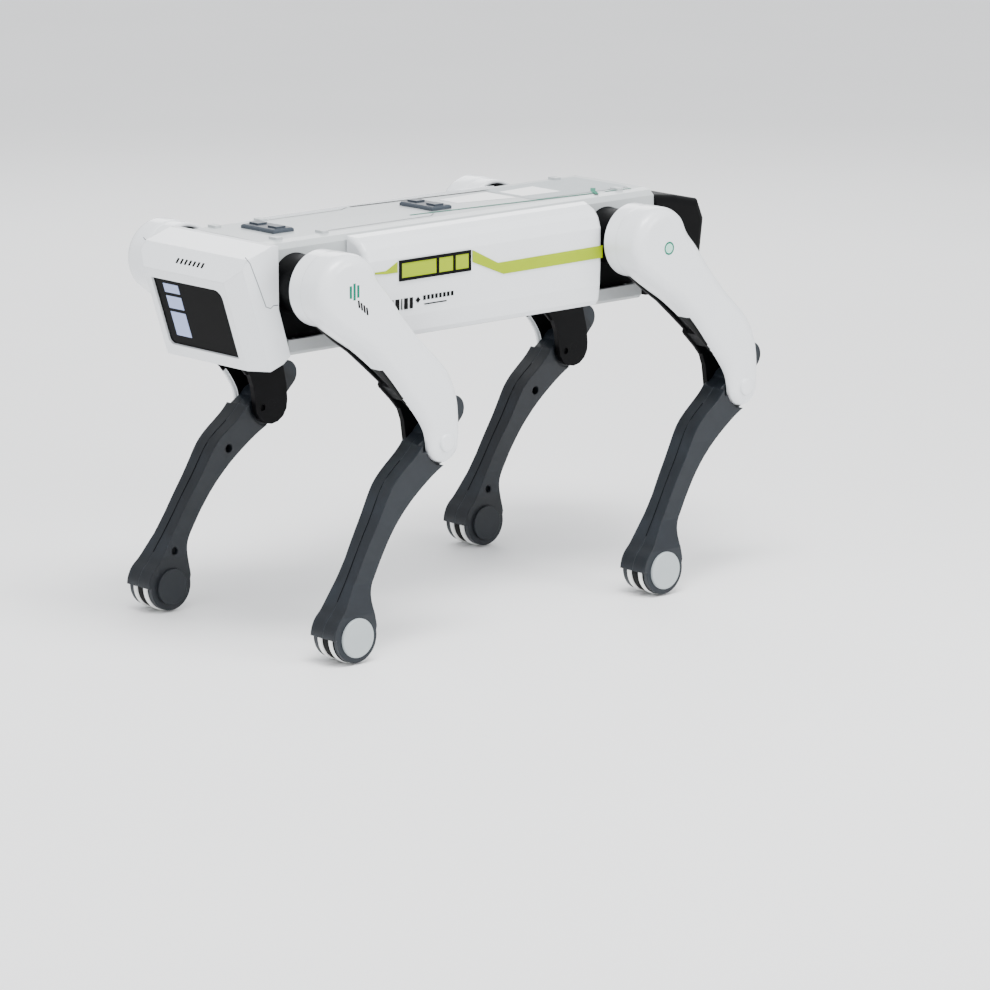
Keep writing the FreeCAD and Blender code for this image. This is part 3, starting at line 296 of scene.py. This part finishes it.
def thigh(tag):
    xf = leg_xf(tag)
    N = 176
    rim = spline_closed(COVER, N)
    R = 7.0
    flat = 86.3 - R
    bm = bmesh.new()
    lo = [rim_y(x, z) for x, z in rim]
    loops = []

    def ring(pts, ys):
        return [bm.verts.new(xf(p[0], y, p[1])) for p, y in zip(pts, ys)]
    # inner lip, then round the rim, up the wall and over the crown
    inn = mitred(rim, 2.0)
    loops.append(ring(mitred(rim, 2.0), [min(80.3, y + 7.0) for y in lo]))
    loops.append(ring(inn, [y + 0.5 for y in lo]))
    loops.append(ring(mitred(rim, 1.6), [y + 0.08 for y in lo]))
    loops.append(ring(mitred(rim, 0.5), [y for y in lo]))
    loops.append(ring(mitred(rim, 0.12), [y + 0.2 for y in lo]))
    loops.append(ring(rim, [y + 0.6 for y in lo]))
    for k in range(1, 4):
        loops.append(ring(rim, [y + 0.6 + (max(flat, y + 0.7) - y - 0.6) * k / 3.0 for y in lo]))
    for i in range(1, 13):
        t = math.radians(90.0 * i / 12)
        loops.append(ring(mitred(rim, R * (1 - math.cos(t))), [max(flat, y + 0.7) * (1 - math.sin(t)) + 86.3 * math.sin(t) if y > flat - 0.7 else flat + R * math.sin(t) for y in lo]))
    for a, b in zip(loops, loops[1:]):
        bridge(bm, a, b)
    bm.faces.new(loops[-1])
    bm.faces.new(list(reversed(loops[0])))
    # round collar towards the body
    lathe(bm, xf, (0, 0), [(18.6, 66.0), (18.6, 57.9), (18.9, 57.5), (19.6, 57.3), (20.4, 57.45), (20.9, 58.0), (21.0, 58.8), (21.0, 67.2), (21.0, 69.5)], n=96)
    s_, hx, lean = LEGS[tag]
    a = math.radians(lean)
    kl = math.hypot(*K)
    for f in bm.faces:
        c = f.calc_center_median() / MM
        X, Z = c.x - hx, c.z - HZ
        x, z = X * math.cos(a) - Z * math.sin(a), X * math.sin(a) + Z * math.cos(a)
        d = (x * K[0] + z * K[1]) / kl
        front = (x * -K[1] + z * K[0]) / kl
        if abs(c.y) < 81.9 and d > 50 and (front > -4 or abs(c.y) < 79) and len(f.verts) == 4 and d < 84:
            f.material_index = 1
        if len(f.verts) > 4 and abs(c.y) < 81:
            f.material_index = 1
    return finish_piece("thigh_skin_" + tag, bm, ["shell_white", "frame_black"], "thigh_" + tag, "thigh_cover_" + tag, angle=50)


def knee_boss(tag):
    xf = leg_xf(tag)
    bm = bmesh.new()
    # shallow groove ring and a slightly domed disc
    lathe(bm, xf, K, [(5.9, 86.25), (5.7, 86.38), (5.35, 86.42), (5.1, 86.4), (5.05, 87.1), (4.9, 87.5), (4.55, 87.75), (3.9, 87.88), (2.6, 87.95), (1.2, 87.98), (0.0, 88.0)], n=64)
    return finish_piece("knee_boss_" + tag, bm, ["shell_white"], "thigh_" + tag, angle=60)


def roller(tag):
    xf = leg_xf(tag)
    bm = bmesh.new()
    prof = [(2.1, 73.2), (12.6, 73.2), (13.6, 73.25), (13.9, 73.4), (14.3, 73.5), (14.55, 73.65), (14.6, 73.9), (14.6, 76.4),
            (14.5, 76.65), (14.25, 76.75), (13.9, 76.8), (13.8, 77.0), (13.95, 77.6), (14.0, 79.6), (13.95, 81.6), (13.8, 82.3), (13.9, 82.45), (14.25, 82.5), (14.5, 82.6), (14.6, 82.85),
            (14.6, 85.2), (14.5, 85.45), (14.2, 85.6), (13.6, 85.7), (12.9, 86.0), (2.1, 86.05), (2.1, 73.2)]
    mats = [0, 0, 0, 1, 1, 1, 1, 1, 1, 1, 0, 0, 0, 0, 0, 0, 1, 1, 1, 1, 1, 1, 0, 0, 0, 0]
    lathe(bm, xf, F, prof, mats, n=96)
    bmesh.ops.remove_doubles(bm, verts=bm.verts, dist=1e-7)
    return finish_piece("foot_wheel_" + tag, bm, ["foot_rubber", "band_white"], "roller_" + tag, "foot_roller_" + tag, angle=50)


for tag in LEGS:
    thigh(tag)
    knee_boss(tag)
    roller(tag)


# ------------------------------------------------------------------ thin printed marks
def ribbon(bm, pts, w, put, t=0.0, closed=False, mat=0):
    """Flat strip of width w along pts in a plane; put(u, v) gives the point in space."""
    n = len(pts)
    A, B = [], []
    for i in range(n):
        if closed:
            a, b = pts[i - 1], pts[(i + 1) % n]
        else:
            a, b = pts[max(i - 1, 0)], pts[min(i + 1, n - 1)]
        dx, dy = b[0] - a[0], b[1] - a[1]
        L = math.hypot(dx, dy)
        nx, ny = -dy / L * w / 2, dx / L * w / 2
        A.append(bm.verts.new(put(pts[i][0] + nx, pts[i][1] + ny)))
        B.append(bm.verts.new(put(pts[i][0] - nx, pts[i][1] - ny)))
    for i in range(n if closed else n - 1):
        j = (i + 1) % n
        f = bm.faces.new((A[i], A[j], B[j], B[i]))
        f.material_index = mat


def patch(bm, pts, put, mat=0):
    f = bm.faces.new([bm.verts.new(put(u, v)) for u, v in pts])
    f.material_index = mat


def marks_hip(tag):
    xf = leg_xf(tag)
    bm = bmesh.new()
    y = 86.36

    def put(u, v):
        return xf(u, y, v)
    if tag in ("lf", "rf"):
        # three plain teal bars and a row of plain ticks below them
        for k, h in enumerate((3.4, 4.6, 3.4)):
            patch(bm, [(2.6 - 2.6 * k, 1.2 - h), (0.9 - 2.6 * k, 1.2 - h), (0.9 - 2.6 * k, 1.2 + h), (2.6 - 2.6 * k, 1.2 + h)], put, mat=0)
        for i in range(4):
            patch(bm, [(-3.0 - 1.9 * i, -3.6 - 1.5 * i), (-4.3 - 1.9 * i, -3.9 - 1.5 * i), (-4.9 - 1.9 * i, -8.1 - 1.5 * i), (-3.6 - 1.9 * i, -7.8 - 1.5 * i)], put, mat=1)
    else:
        ring = [(-3.0 + 3.3 * math.cos(math.radians(t)), -2.0 + 3.3 * math.sin(math.radians(t))) for t in range(0, 360, 10)]
        ribbon(bm, ring, 1.0, put, closed=True, mat=0)
        patch(bm, [(-3.0 + 2.8 * math.cos(math.radians(t)), -2.0 + 2.8 * math.sin(math.radians(t))) for t in range(0, 360, 10)], put, mat=2)
    return finish_piece("hip_mark_" + tag, bm, ["ink_teal", "ink_black", "ink_mint"], "thigh_" + tag, smooth=False)


for tag in LEGS:
    marks_hip(tag)

SX = 8.5
TOP = 225.5


def deck_print():
    bm = bmesh.new()

    def put(u, v):
        return Vector(((u + SX) * MM, v * MM, (TOP + 0.05) * MM))

    def put2(u, v):
        return Vector(((u + SX) * MM, v * MM, (TOP + 0.09) * MM))
    # pale printed field at the back and the white band across it
    patch(bm, [(-60, -24), (-60, 19), (-64, 22), (-132, 24), (-134, 20), (-134, -24)], put, mat=0)
    patch(bm, [(-20, -14), (-20, 2), (-58, 10), (-58, -16)], put, mat=1)
    patch(bm, [(-64, -12), (-64, 8), (-92, 10), (-92, -14)], put2, mat=1)
    # teal line with a chevron at its end
    ribbon(bm, [(27.7, 15.5), (-30.0, 21.0), (-102.0, 27.9)], 2.0, put2, mat=2)
    ribbon(bm, [(-113.9, 13.7), (-106.5, 21.5), (-100.5, 31.0)], 3.0, put2, mat=2)
    ribbon(bm, [(-110.0, 27.8), (-130.0, 28.6)], 1.4, put2, mat=2)
    ribbon(bm, [(34.0, -29.0), (-65.0, -21.5)], 1.8, put, mat=3)
    # fine dark outlines of the deck insert
    ribbon(bm, [(100.0, 24.5), (20.0, 24.5), (14.0, 20.0)], 0.9, put, mat=4)
    ribbon(bm, [(100.0, -24.5), (44.0, -24.5), (36.0, -29.0)], 0.9, put, mat=4)
    return finish_piece("deck_print", bm, ["ink_grey", "ink_white", "ink_teal", "ink_black", "ink_seam"], "torso", smooth=False)


deck_print()


def panel_print(side):
    bm = bmesh.new()

    def put(u, v):
        return Vector(((u + SX) * MM, side * 54.05 * MM, v * MM))
    # row of plain bars, a small diamond and a row of short dashes
    x = 84.0
    for i, w in enumerate((2.6, 3.4, 2.2, 3.0, 0.9, 2.8, 2.4)):
        h = 6.2
        patch(bm, [(x, 188.2), (x - w, 188.2), (x - w, 188.2 - h), (x, 188.2 - h)], put, mat=0)
        x -= w + 1.25
    patch(bm, [(x - 0.6, 186.2), (x - 2.4, 188.0), (x - 4.2, 186.2), (x - 2.4, 184.4)], put, mat=0)
    x -= 6.2
    for i in range(8):
        patch(bm, [(x, 188.2), (x - 1.9, 188.2), (x - 1.9, 185.6), (x, 185.6)], put, mat=0)
        x -= 2.9
    patch(bm, [(x + 22.4, 183.6), (x + 6.0, 183.6), (x + 6.0, 182.9), (x + 22.4, 182.9)], put, mat=0)
    return finish_piece("panel_print_" + ("l" if side > 0 else "r"), bm, ["ink_black"], "torso", smooth=False)


panel_print(1)
panel_print(-1)


# ------------------------------------------------------------------ seam beads of the shanks
MID = [(-98.0, 74.6), (-127.0, 76.4), (-150.0, 77.8), (-172.0, 79.5)]


def mid_y(z):
    if z >= MID[0][0]:
        return MID[0][1]
    for (z0, y0), (z1, y1) in zip(MID, MID[1:]):
        if z >= z1:
            return y0 + (y1 - y0) * (z0 - z) / (z0 - z1)
    return MID[-1][1]


FRONT = rel([(78.6, 112.4), (87.2, 104.0), (95.8, 97.2), (101.3, 91.3), (105.2, 85.0), (110.3, 75.8), (116.8, 65.4),
             (123.2, 54.6), (129.6, 44.0), (136.4, 33.6)])


def tube(bm, pts, r, n=8):
    rings = []
    for i, p in enumerate(pts):
        a, b = pts[max(i - 1, 0)], pts[min(i + 1, len(pts) - 1)]
        d = (b - a).normalized()
        q = d.to_track_quat("Z", "Y")
        rings.append([bm.verts.new(p + q @ Vector((r * math.cos(2 * math.pi * k / n), r * math.sin(2 * math.pi * k / n), 0))) for k in range(n)])
    for A, B in zip(rings, rings[1:]):
        bridge(bm, A, B)
    bm.faces.new(list(reversed(rings[0])))
    bm.faces.new(rings[-1])


def seam(tag):
    xf = leg_xf(tag)
    pts = []
    for (x0, z0), (x1, z1) in zip(FRONT[1:], FRONT[2:]):
        for j in range(4):
            t = j / 4.0
            x, z = x0 + (x1 - x0) * t, z0 + (z1 - z0) * t
            pts.append(xf(x, mid_y(z), z))
    pts.append(xf(FRONT[-1][0], mid_y(FRONT[-1][1]), FRONT[-1][1]))
    bm = bmesh.new()
    tube(bm, pts, 0.00026)
    return finish_piece("shank_seam_" + tag, bm, ["frame_black"], "shank_" + tag)


for tag in LEGS:
    seam(tag)


# ------------------------------------------------------------------ thigh closing plates
PLATE = (arc_pts((0, 0), 20.6, 150, -60, 12)
         + rel([(126.6, 174.0), (115.2, 166.0), (103.6, 156.0), (93.0, 146.6), (93.4, 144.2), (85.0, 135.8), (80.5, 130.5)])
         + rel([(72.0, 131.5), (67.0, 139.0), (66.0, 149.0), (70.0, 158.5), (79.5, 169.0), (92.5, 184.6), (104.5, 200.0)]))


def plate(tag):
    xf = leg_xf(tag)
    pts = PLATE
    bm = bmesh.new()
    rings = []
    for d, y in ((0.6, 65.95), (0.0, 65.6), (0.0, 64.0), (0.5, 63.4)):
        q = mitred(pts, d)
        rings.append([bm.verts.new(xf(p[0], y, p[1])) for p in q])
    for a, b in zip(rings, rings[1:]):
        bridge(bm, a, b)
    bm.faces.new(rings[-1])
    bm.faces.new(list(reversed(rings[0])))
    bmesh.ops.triangulate(bm, faces=[f for f in bm.faces if len(f.verts) > 4])
    return finish_piece("thigh_plate_" + tag, bm, ["frame_black"], "thigh_" + tag, angle=30)


for tag in LEGS:
    plate(tag)


def head_seam(side):
    bm = bmesh.new()

    def put(u, v):
        return Vector(((u + SX) * MM, side * 44.04 * MM, v * MM))
    ribbon(bm, [(169.0, 221.6), (165.6, 217.8), (160.3, 205.7), (155.0, 193.1), (151.8, 191.8), (149.8, 193.2), (146.6, 193.0)], 0.55, put, mat=0)
    return finish_piece("head_seam_" + ("l" if side > 0 else "r"), bm, ["ink_seam"], "torso", smooth=False)


def head_print():
    """Row of plain dashes on the brow."""
    bm = bmesh.new()
    a, b = Vector((167.4, 0, 219.8)), Vector((176.5, 0, 207.3))
    nrm = Vector((b.z - a.z, 0, -(b.x - a.x))).normalized() * -1
    for i in range(7):
        y = -10.8 + 3.6 * i
        c = a.lerp(b, 0.42)
        d = a.lerp(b, 0.62)
        q = []
        for p, yy in ((c, y), (c, y + 1.7), (d, y + 1.7), (d, y)):
            v = Vector((p.x + SX, yy, p.z)) + nrm * 0.12
            q.append(bm.verts.new(v * MM))
        bm.faces.new(q)
    return finish_piece("head_dashes", bm, ["ink_black"], "torso", smooth=False)


head_seam(1)
head_seam(-1)
head_print()


# ------------------------------------------------------------------ stage, lights and camera
def floor():
    bm = bmesh.new()
    n, s = 24, 60.0
    g = [[bm.verts.new((-s + 2 * s * i / n, -s + 2 * s * j / n, -0.0003)) for j in range(n + 1)] for i in range(n + 1)]
    for i in range(n):
        for j in range(n):
            bm.faces.new((g[i][j], g[i + 1][j], g[i + 1][j + 1], g[i][j + 1]))
    me = bpy.data.meshes.new("stage_floor")
    bm.to_mesh(me)
    bm.free()
    me.materials.append(M["floor"])
    o = bpy.data.objects.new("stage_floor", me)
    bpy.context.scene.collection.objects.link(o)


floor()


def area(name, loc, target, size, power, col=(1, 1, 1)):
    li = bpy.data.lights.new(name, "AREA")
    li.shape = "RECTANGLE"
    li.size, li.size_y = size
    li.energy = power
    li.color = col
    o = bpy.data.objects.new(name, li)
    o.location = loc
    o.rotation_mode = "QUATERNION"
    o.rotation_quaternion = (Vector(target) - Vector(loc)).to_track_quat("-Z", "Y")
    bpy.context.scene.collection.objects.link(o)
    return o


sl = bpy.data.lights.new("sky_sun", "SUN")
sl.energy = 1.25
sl.angle = 0.9
so = bpy.data.objects.new("sky_sun", sl)
so.rotation_mode = "QUATERNION"
so.rotation_quaternion = Vector((-0.15, -0.30, -1.0)).to_track_quat("-Z", "Y")
bpy.context.scene.collection.objects.link(so)
area("key_top", (0.25, 0.45, 1.35), (0, 0, 0.12), (0.7, 0.5), 20.0)
area("side_left", (-0.55, 1.35, 0.75), (0, 0, 0.12), (0.6, 0.6), 9.0)
area("front_fill", (1.6, 0.5, 0.5), (0.1, 0, 0.12), (0.8, 0.8), 5.0)
area("back_rim", (-0.9, -1.1, 0.9), (0, 0, 0.15), (1.0, 0.6), 8.0)

w = bpy.data.worlds.new("studio")
bpy.context.scene.world = w
w.use_nodes = True
w.node_tree.nodes["Background"].inputs[0].default_value = (0.95, 0.97, 1.0, 1)
w.node_tree.nodes["Background"].inputs[1].default_value = 0.95

cd = bpy.data.cameras.new("view")
cam = bpy.data.objects.new("view", cd)
bpy.context.scene.collection.objects.link(cam)
cd.sensor_width = 36.0
cd.lens = 169.9
cd.clip_start, cd.clip_end = 0.05, 50.0
cam.location = (1.724563, 1.954698, 0.646060)
cam.rotation_mode = "QUATERNION"
cam.rotation_quaternion = Vector((-0.65397284, -0.72376608, -0.22018672)).to_track_quat("-Z", "Y")
bpy.context.scene.camera = cam
